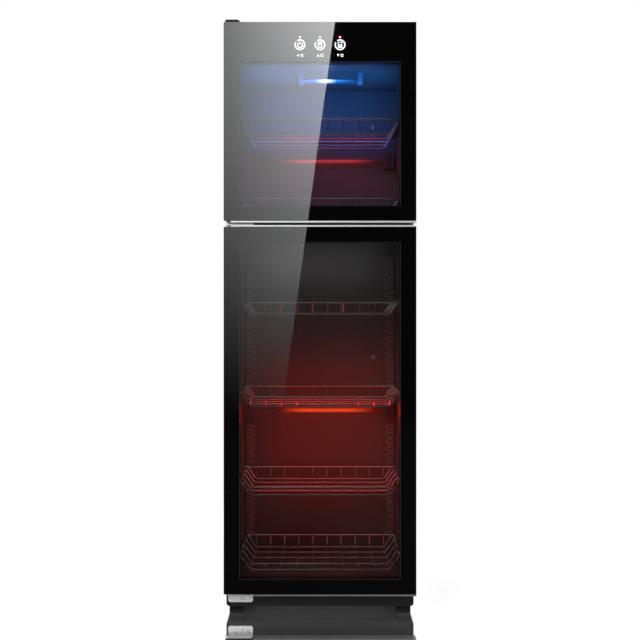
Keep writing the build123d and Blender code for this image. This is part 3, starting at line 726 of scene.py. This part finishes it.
heads, crosses = bmesh.new(), bmesh.new()
for low, high in islands("hinge_screws"):
    size = high - low
    middle = (low + high) / 2
    if abs(size.x - size.y) < SAME_SIZE:               # an upright screw is as deep as wide
        place, outward = (middle.x, middle.y, high.z - HINGE_HEAD), (0, 0, 1)
    else:
        place, outward = (middle.x, low.y + HINGE_HEAD, middle.z), (0, -1, 0)
    pan_head(heads, crosses, place, outward, HINGE_HEAD)
for low, high in islands("back_screws"):
    middle = (low + high) / 2
    pan_head(heads, crosses, (middle.x, low.y, middle.z), (0, 1, 0), BACK_HEAD)
settle("screw_heads", heads, screw_steel, "cabinet",
       instead_of=["hinge_screws", "back_screws"])
settle("screw_recesses", crosses, recess_painted_shade, "cabinet", smooth=False)
print("screws")

# %% [markdown]
# ## Door seals
# The seal is an extruded rubber profile: a flat foot pressed into the frame, a folded bellows,
# and a bulb that holds the magnet strip. A bevelled curve can't have such a profile, so the
# outline is carried round each door by hand, with an arc at every corner.

# %% Bellows profile round each door
BELLOWS = [(0.0, 0.0), (7.0, 0.0), (7.0, 1.6), (5.4, 2.2), (6.6, 3.6), (5.2, 5.0), (6.8, 6.2),
           (7.0, 8.8), (6.0, 9.7), (1.0, 9.7), (0.0, 8.8), (0.2, 6.2), (1.8, 5.0), (0.4, 3.6),
           (1.6, 2.2), (0.0, 1.6)]                    # (inward, rise) in millimetres
SEAL_TURN, CORNER_STEPS = 6 * MM, 4


def seal(door):
    """Carry the profile round the door's seal, from the top right corner on."""
    node = f"{door}_gasket"
    low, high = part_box(node)
    build = bmesh.new()
    rows = []
    for quarter, (sx, sz) in enumerate(((1, 1), (-1, 1), (-1, -1), (1, -1))):
        cx = high[0] - SEAL_TURN if sx > 0 else low[0] + SEAL_TURN
        cz = high[2] - SEAL_TURN if sz > 0 else low[2] + SEAL_TURN
        for step in range(CORNER_STEPS + 1):
            a = math.radians(90 * (quarter + step / CORNER_STEPS))
            out = Vector((math.cos(a), 0, math.sin(a)))
            rows.append([build.verts.new(Vector((cx, low[1] + rise * MM, cz))
                                         + out * (SEAL_TURN - inward * MM))
                         for inward, rise in BELLOWS])
    for row, following in zip(rows, rows[1:] + rows[:1]):
        for k in range(len(BELLOWS)):
            j = (k + 1) % len(BELLOWS)
            build.faces.new((row[k], row[j], following[j], following[k]))
    settle(f"{door}_seal", build, gasket_rubber, door, instead_of=[node])


seal("upper_door")
seal("lower_door")
print("seals")

# %% [markdown]
# ## Touch keys
# The keys have no moving part: each is a round sign printed in white behind the glass, with a
# small light over it and a small sign under it. The signs are generic: a power mark, and a
# little cabinet whose upper or lower room is filled. They lie as thin prints on the glass. The
# white print is also given a faint emission, a painted glow, though it is no lamp.

# %% Printing signs on the glass
# the emission on the white print is a painted glow that makes the signs brighter than their lighting
glowing_white_print = Finish("white screen print with painted glow", Roughness=0.45, Emission_Strength=0.55)
speck = glowing_white_print.noise(500.0)
glowing_white_print.set("Base Color", glowing_white_print.mix(speck, (0.74, 0.74, 0.75), (0.86, 0.86, 0.87)))
glowing_white_print.set("Emission Color", glowing_white_print.mix(speck, (0.80, 0.80, 0.82), (0.95, 0.95, 0.97)))
PRINT, PRINT_LIFT = 0.12 * MM, 0.01 * MM              # the print's front and back, off the glass
led_low, led_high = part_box("indicator_lights")
LED_Z = (led_low[2] + led_high[2]) / 2
KEY_Z = LED_Z - 19.5 * MM
SIGN_Z = KEY_Z - 27.5 * MM
SIGN, SIGN_GAP, SIGN_LINE = 6.6 * MM, 5 * MM, 1.3 * MM
KEY_STEP = 52 * MM


def stamp(build, outline):
    """A thin printed shape from a closed outline of (x, z) points."""
    front = [build.verts.new((x, DOOR_Y - PRINT, z)) for x, z in outline]
    back = [build.verts.new((x, DOOR_Y - PRINT_LIFT, z)) for x, z in outline]
    build.faces.new(front)
    for k in range(len(outline)):
        j = (k + 1) % len(outline)
        build.faces.new((front[k], front[j], back[j], back[k]))


def arc(build, x, z, radius, wide, start, end, steps):
    """Part of a ring, as quads; angles in degrees from the right, turning up."""
    inner = radius - wide
    for k in range(steps):
        a, b = [math.radians(lerp(start, end, (k + e) / steps)) for e in (0, 1)]
        corners = ((inner, a), (radius, a), (radius, b), (inner, b))
        stamp(build, [(x + r * math.cos(t), z + r * math.sin(t)) for r, t in corners])


def bar(build, x, z, wide, tall):
    stamp(build, [(x - wide / 2, z - tall / 2), (x + wide / 2, z - tall / 2),
                  (x + wide / 2, z + tall / 2), (x - wide / 2, z + tall / 2)])


def box_outline(build, x, z, wide, tall, line):
    bar(build, x, z + tall / 2 - line / 2, wide, line)
    bar(build, x, z - tall / 2 + line / 2, wide, line)
    for side in (-1, 1):
        bar(build, x + side * (wide - line) / 2, z, line, tall)


print("print helpers", round(KEY_Z, 4))

# %% [markdown]
# The three keys share an open ring. A picture of the signs would need an image, so each is
# stamped from arcs and bars: they stay sharp at any distance, and a later reader can change one
# by changing a number.

# %% Three keys
RING_R, RING_LINE = 14 * MM, 3.2 * MM
POWER_R, POWER_LINE, POWER_DROP = 7.6 * MM, 2.4 * MM, 0.6 * MM
STEM_RISE, STEM = 4.6 * MM, 8 * MM
ROOM_WIDE, ROOM_TALL, ROOM_LINE, ROOM_SHELF = 11 * MM, 15 * MM, 1.7 * MM, 1.5 * MM
FILL_RISE, FILL_WIDE, FILL_TALL = 3.6 * MM, 8 * MM, 4.6 * MM

build = bmesh.new()
for k in (-1, 0, 1):
    x = k * KEY_STEP
    arc(build, x, KEY_Z, RING_R, RING_LINE, 150, 485, 40)
    box_outline(build, x + SIGN_GAP, SIGN_Z, SIGN, SIGN, SIGN_LINE)
    if k == -1:
        arc(build, x, KEY_Z - POWER_DROP, POWER_R, POWER_LINE, 130, 410, 20)
        bar(build, x, KEY_Z + STEM_RISE, POWER_LINE, STEM)
        bar(build, x - SIGN_GAP, SIGN_Z, SIGN, SIGN_LINE)
        bar(build, x - SIGN_GAP, SIGN_Z, SIGN_LINE, SIGN)
        continue
    lift = 1 if k == 0 else -1                          # the middle key is the upper room's
    box_outline(build, x, KEY_Z, ROOM_WIDE, ROOM_TALL, ROOM_LINE)
    bar(build, x, KEY_Z, ROOM_WIDE, ROOM_SHELF)
    bar(build, x, KEY_Z + lift * FILL_RISE, FILL_WIDE, FILL_TALL)
    stamp(build, [(x - SIGN_GAP - SIGN / 2, SIGN_Z - lift * SIGN / 2),
                  (x - SIGN_GAP + SIGN / 2, SIGN_Z - lift * SIGN / 2),
                  (x - SIGN_GAP, SIGN_Z + lift * SIGN / 2)][::lift])
settle("key_prints", build, glowing_white_print, "upper_door", smooth=False)
print("key prints")

# %% [markdown]
# The lights shine through pinholes in the print. Each is a small bright dome, and the right one
# is lit red, with the red haze that a strong light leaves in the glass: a thin disc whose Alpha
# falls off with the distance from its middle.

# %% Indicator lights
LED_R, LED_RISE, LED_EDGE = 2.2 * MM, 0.3 * MM, 3 * MM
HAZE_R, HAZE_RISE = 11 * MM, 0.1 * MM
LENS_LIFT = 0.02 * MM            # the lens's rim, off the glass

led_white = Finish("white indicator", Roughness=0.3, Base_Color=(0.8, 0.8, 0.8),
                   Emission_Strength=1.6)
led_red = Finish("red indicator", Roughness=0.3, Emission_Strength=1.5)
for light, inner, outer in ((led_white, (1.0, 0.97, 0.97), (0.85, 0.80, 0.82)),
                            (led_red, (1.0, 0.72, 0.80), (0.95, 0.06, 0.16))):
    x, _, z = light.axes()
    shifted = x + KEY_STEP * 1.5
    step = light.node("ShaderNodeMath", {"operation": "FLOORED_MODULO"}, shifted, KEY_STEP)
    away = ((step - KEY_STEP / 2) ** 2 + (z - LED_Z) ** 2) ** 0.5
    light.set("Emission Color", light.mix((away / LED_EDGE).clipped(), inner, outer))
led_pink = Finish("pink indicator", Roughness=0.3, Emission_Strength=1.2)
pink_speck = led_pink.noise(800.0)
led_pink.set("Emission Color", led_pink.mix(pink_speck, (1.0, 0.62, 0.68), (0.95, 0.50, 0.58)))


def dome(build, x, z, radius, height, rings=4, sides=20):
    """A shallow lens on the glass."""
    rows = []
    for k in range(rings):
        t = k / rings
        r, rise = radius * math.cos(t * math.pi / 2), height * math.sin(t * math.pi / 2)
        y = DOOR_Y - LENS_LIFT - rise
        rows.append([build.verts.new((x + r * math.cos(a), y, z + r * math.sin(a)))
                     for a in turns(sides)])
    for row, following in zip(rows, rows[1:]):
        for n in range(sides):
            m = (n + 1) % sides
            build.faces.new((row[n], row[m], following[m], following[n]))
    build.faces.new(rows[-1])


for name, k, light in (("indicator_left", -1, led_white), ("indicator_middle", 0, led_pink),
                       ("indicator_right", 1, led_red)):
    build = bmesh.new()
    dome(build, k * KEY_STEP, LED_Z, LED_R, LED_RISE)
    settle(name, build, light, "upper_door")

red_haze = Finish("red haze in the glass", Roughness=0.3, Base_Color=(0.0, 0.0, 0.0),
                  Specular_IOR_Level=0.0, Emission_Strength=0.5)
x, _, z = red_haze.axes()
from_right_light = ((x - KEY_STEP) ** 2 + (z - LED_Z) ** 2) ** 0.5
veil = (1 - from_right_light / HAZE_R).clipped() ** 2
red_haze.set("Alpha", veil * 0.8)
red_haze.set("Emission Color", red_haze.mix(veil, (0.5, 0.0, 0.03), (0.9, 0.02, 0.08)))
red_haze.data.surface_render_method = "BLENDED"
build = bmesh.new()
dome(build, KEY_STEP, LED_Z, HAZE_R, HAZE_RISE, rings=3, sides=32)
settle("indicator_haze", build, red_haze, "upper_door")
dress(led_white, "indicator_lights")
print("indicators")

# %% [markdown]
# ## The studio
# The cabinet stands before plain white. A world that is white for everything would flood the
# object with light, so it is white only for what looks at it, and otherwise a dim grey. Its
# nodes come from the same method as a material's: a Surround is a Finish whose tree is the
# world's.


# %% World
class Surround(Finish):
    """The world's nodes, made as a finish's are."""

    def __init__(self, name):
        world = bpy.data.worlds.new(name)
        world.use_nodes = True
        scene.world = world
        self.tree = world.node_tree
        self.tree.nodes.clear()


around = Surround("white surround")
looked_at = around.node("ShaderNodeLightPath", None, out="Is Camera Ray")
for kind in ("Is Glossy Ray", "Is Transmission Ray"):
    also = around.node("ShaderNodeLightPath", None, out=kind)
    looked_at = looked_at.maths("MAXIMUM", looked_at, also)
ambient = around.node("ShaderNodeBackground", None, Color=(0.82, 0.82, 0.84), Strength=0.40)
bright = around.node("ShaderNodeBackground", None, Color=(1.0, 1.0, 1.0), Strength=1.0)
around.node("ShaderNodeOutputWorld", None,
            around.node("ShaderNodeMixShader", None, looked_at, ambient, bright))
print("world")

# %% [markdown]
# ### The floor
# The floor is pale and polished, and mirrors strongly at a low angle, as acrylic does. A glossy
# coat on a plain material mirrors the same everywhere, so four looks are mixed instead: matt
# white with a little light of its own, a mirror near the cabinet that fades out, plain white
# far off so that no horizon shows, and black for the glass in front of it.


# %% Stage pieces and the floor
def flat_stage(name, corners, finish):
    """One flat face that belongs to the studio and not to the object."""
    mesh = bpy.data.meshes.new(name)
    build = bmesh.new()
    build.faces.new([build.verts.new(corner) for corner in corners])
    build.to_mesh(mesh)
    build.free()
    piece = bpy.data.objects.new(name, mesh)
    scene.collection.objects.link(piece)
    mesh.materials.append(finish.data)
    return piece


def surface(finish, shader):
    finish.tree.links.new(shader.socket, finish.tree.nodes["Material Output"].inputs[0])


FLOOR_HALF = 9.0
MIRROR_X, MIRROR_X_FADE = 0.46, 0.16                  # the mirror ends here, and fades over this
MIRROR_Y, MIRROR_Y_FADE = 0.60, 0.20
STEEPNESS, MOST_MIRROR = 1.6, 0.975
WHITE_FROM, WHITE_FADE = 0.75, 0.5                    # distance from the cabinet's middle
DARK_X, DARK_Y = 0.8, -0.26                           # what the doors see of the floor
WHITE = (1.0, 1.0, 1.0)

polished = Finish("polished floor", Base_Color=(0.90, 0.90, 0.90), Roughness=0.5)
x, y, _ = polished.axes()
seen_by_glass = polished.node("ShaderNodeLightPath", None, out="Is Glossy Ray")
seen_by_camera = polished.node("ShaderNodeLightPath", None, out="Is Camera Ray")
facing = polished.node("ShaderNodeLayerWeight", None, Blend=0.5, out="Facing")

mirror = polished.node("ShaderNodeBsdfGlossy", None, Color=WHITE, Roughness=0.02)
matt = polished.node("ShaderNodeBsdfDiffuse", None, Color=(0.92, 0.92, 0.92))
no_light = polished.node("ShaderNodeEmission", None, Strength=0.0)
own_light = polished.node("ShaderNodeEmission", None, Color=WHITE, Strength=0.45)
lift = polished.node("ShaderNodeMixShader", None, seen_by_camera, no_light, own_light)
white = polished.node("ShaderNodeAddShader", None, matt, lift)
plain_white = polished.node("ShaderNodeEmission", None, Color=WHITE, Strength=1.0)
dark_floor = polished.node("ShaderNodeEmission", None, Color=WHITE, Strength=0.02)

near_x = ((MIRROR_X - abs(x)) / MIRROR_X_FADE).clipped()
near_y = ((MIRROR_Y - abs(y)) / MIRROR_Y_FADE).clipped()
shine = (facing * STEEPNESS).clipped() * MOST_MIRROR * near_x * near_y
far_off = (((x ** 2 + y ** 2) ** 0.5 - WHITE_FROM) / WHITE_FADE).clipped() * seen_by_camera
in_front = (abs(x) < DARK_X) * (y < DARK_Y) * seen_by_glass

seen_floor = polished.node("ShaderNodeMixShader", None, shine, white, mirror)
seen_floor = polished.node("ShaderNodeMixShader", None, far_off, seen_floor, plain_white)
surface(polished, polished.node("ShaderNodeMixShader", None, in_front, seen_floor, dark_floor))
flat_stage("floor", [(-FLOOR_HALF, -FLOOR_HALF, 0), (FLOOR_HALF, -FLOOR_HALF, 0),
                     (FLOOR_HALF, FLOOR_HALF, 0), (-FLOOR_HALF, FLOOR_HALF, 0)], polished)
print("floor")

# %% [markdown]
# ### What the glass mirrors
# The doors are flat black mirrors, so a studio shapes them with cards behind the camera. A
# slanting pale card, bright at its upper right edge and fading down and to the left, gives the
# long soft gleam; a black card around it keeps the rest of the glass black. Both are seen by
# glossy rays only, and only by those that come from the doors: a ray's length tells how far
# off the mirroring surface is, so other lengths pass through and the floor shows no card.


# %% Cards behind the camera
def glossy_only(piece):
    for flag in ("visible_camera", "visible_diffuse", "visible_transmission",
                 "visible_volume_scatter", "visible_shadow"):
        setattr(piece, flag, False)


CARD_Y = -3.5
SHORTER, LONGER = 0.06, 0.30     # how much a kept ray's length may differ from doors to card
EDGE_TOP, EDGE_LOW = (334.8, 22), (267.0, 518)        # two pixels on the edge of the gleam
CARD_TOP, CARD_LOW = (336.7, 8), (265.4, 530)         # the same edge, run past both ends
FAR_COLUMN = 200                 # a column to the left of the glass
spread = (DISTANCE - (CARD_Y - DOOR_Y)) / DISTANCE


def mirrored(column, row):
    """Where a spot of the picture's glass sees the card's plane."""
    x = (column - IMAGE / 2) * PIXEL * spread
    z = (LEVEL_ROW - row) * PIXEL * spread + eye_z
    return Vector((x, CARD_Y, z))


def from_the_doors(finish, shader, card_y):
    """The shader for rays about as long as the way from doors to card, and nothing else."""
    away = DOOR_Y - card_y
    length = finish.node("ShaderNodeLightPath", None, out="Ray Length")
    kept = (length > away - SHORTER) * (length < away + LONGER)
    clear = finish.node("ShaderNodeBsdfTransparent", None)
    surface(finish, finish.node("ShaderNodeMixShader", None, kept, clear, shader))


PALE_STRENGTH, UPWARD = 12.5, 1.9                     # the card's brightest, and how it rises
SIDEWAYS = 0.93                  # how fast it fades away from its edge, for each metre
RIM_WIDE, RIM_EXTRA = 0.012, 0.22

top, low = mirrored(*EDGE_TOP), mirrored(*EDGE_LOW)
pale = Finish("pale card", Base_Color=(0.0, 0.0, 0.0), Roughness=1.0, Specular_IOR_Level=0.0)
x, _, z = pale.axes()
rise = (z / top.z).clipped()
edge_x = low.x + (z - low.z) * ((top.x - low.x) / (top.z - low.z))
inward = (1 - (edge_x - x) * SIDEWAYS).clipped()
rim = (1 - abs(edge_x - x) / RIM_WIDE).clipped() * RIM_EXTRA + 1.0
glow = pale.node("ShaderNodeEmission", None, Color=(0.98, 0.99, 1.0),
                 Strength=rise ** UPWARD * inward * rim * PALE_STRENGTH)
from_the_doors(pale, glow, CARD_Y)
card_corners = [CARD_TOP, (FAR_COLUMN, CARD_TOP[1]), (FAR_COLUMN, CARD_LOW[1]), CARD_LOW]
glossy_only(flat_stage("pale_card", [mirrored(*spot) for spot in card_corners], pale))

BLACK_Y = CARD_Y - 0.4
BLACK_HALF, BLACK_LOW, BLACK_HIGH = 1.6, -1.0, 4.2
black = Finish("black card", Base_Color=(0.0, 0.0, 0.0), Roughness=1.0, Specular_IOR_Level=0.0)
dark = black.node("ShaderNodeEmission", None, Color=(0.0, 0.0, 0.0), Strength=0.0)
from_the_doors(black, dark, BLACK_Y)
black_corners = [(-BLACK_HALF, BLACK_Y, BLACK_LOW), (BLACK_HALF, BLACK_Y, BLACK_LOW),
                 (BLACK_HALF, BLACK_Y, BLACK_HIGH), (-BLACK_HALF, BLACK_Y, BLACK_HIGH)]
glossy_only(flat_stage("black_card", black_corners, black))
print("cards")

# %% [markdown]
# ### Lamps
# Three large soft lamps light the left, the right and the top. Point lamps or a sun would give
# hard shadows and small hot spots, and area lamps give the broad soft light of a studio.


# %% Studio lamps
def area(name, place, aim, size, power, colour=(1, 1, 1), spread_deg=180):
    """A rectangular lamp at a place, turned to a spot, that the camera doesn't see."""
    data = bpy.data.lights.new(name, "AREA")
    data.shape = "RECTANGLE"
    data.size, data.size_y = size
    data.energy = power
    data.color = colour
    data.spread = math.radians(spread_deg)
    lamp = bpy.data.objects.new(name, data)
    scene.collection.objects.link(lamp)
    lamp.location = place
    lamp.rotation_euler = (Vector(aim) - Vector(place)).to_track_quat("-Z", "Y").to_euler()
    lamp.visible_camera = False


CABINET_MIDDLE = (0, 0, 0.8)
area("key", (-1.9, -2.4, 2.2), CABINET_MIDDLE, (1.4, 1.8), 60)
area("fill", (2.1, -2.0, 1.2), CABINET_MIDDLE, (1.2, 1.8), 34)
area("top", (0, 0.6, 3.4), CABINET_MIDDLE, (2.0, 2.0), 34)
print("studio lamps")

# %% [markdown]
# The heaters paint their rooms red and the ultraviolet tube paints its ceiling blue. The thin
# glowing tubes could do this by themselves, but so few rays find them that the walls would be
# speckled. A small coloured lamp beside each tube gives the same light smoothly: one towards
# the door, one towards the wall, and one close to the wall for the bright band.

# %% Glow inside the chambers
RED, EMBER = (1.0, 0.010, 0.003), (1.0, 0.06, 0.02)
BLUE, DEEP_BLUE = (0.02, 0.30, 1.0), (0.02, 0.22, 1.0)
TUBE_R = 5 * MM
GLOW_X, GLOW_LONG = 20 * MM, 300 * MM
FRONT_GLOW_Y, WALL_GLOW_Y, CLOSE_GAP = 140 * MM, -60 * MM, 8 * MM
FRONT_SHARE, CLOSE_SHARE = 0.8, 0.05                  # shares of the wall lamp's power
ROOM_WIDTH = 400 * MM
FORWARD_Y, BACKWARD_Y = -1.0, 1.0                     # spots to aim at, far in front and behind

upper_tube, lower_tube = heater_high[2] - TUBE_R, heater_low[2] + TUBE_R
wall_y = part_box("lower_lining_back")[0][1]
for height, power, reach in ((upper_tube, 0.11, 0.10), (lower_tube, 0.62, 0.42)):
    area("heater front glow", (GLOW_X, FRONT_GLOW_Y, height), (GLOW_X, FORWARD_Y, height - 0.2),
         (GLOW_LONG, 12 * MM), power * FRONT_SHARE, RED, 150)
    wall_z = height - reach / 5
    area("heater wall glow", (GLOW_X, WALL_GLOW_Y, wall_z), (GLOW_X, BACKWARD_Y, wall_z),
         (ROOM_WIDTH, reach), power, RED, 150)
    area("heater close glow", (GLOW_X, wall_y - CLOSE_GAP, height), (GLOW_X, BACKWARD_Y, height),
         (GLOW_LONG, 20 * MM), power * CLOSE_SHARE, EMBER)

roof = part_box("upper_lining_ceiling")[0][2]
area("lamp on the ceiling", (-0.01, 0.0, roof - 0.10), (-0.01, 0.0, 3.0),
     (ROOM_WIDTH, 0.2), 0.90, BLUE, 150)
area("lamp on the wall", (0.0, -0.10, roof - 0.04), (0.0, BACKWARD_Y, roof - 0.04),
     (ROOM_WIDTH, 0.06), 0.36, DEEP_BLUE, 130)
shelf_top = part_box("lower_lining_ceiling")[0][2] - 0.06
area("grey at the lower ceiling", (0.0, 0.0, shelf_top), (0.0, BACKWARD_Y, shelf_top),
     (0.36, 0.08), 0.080)
print("glow")
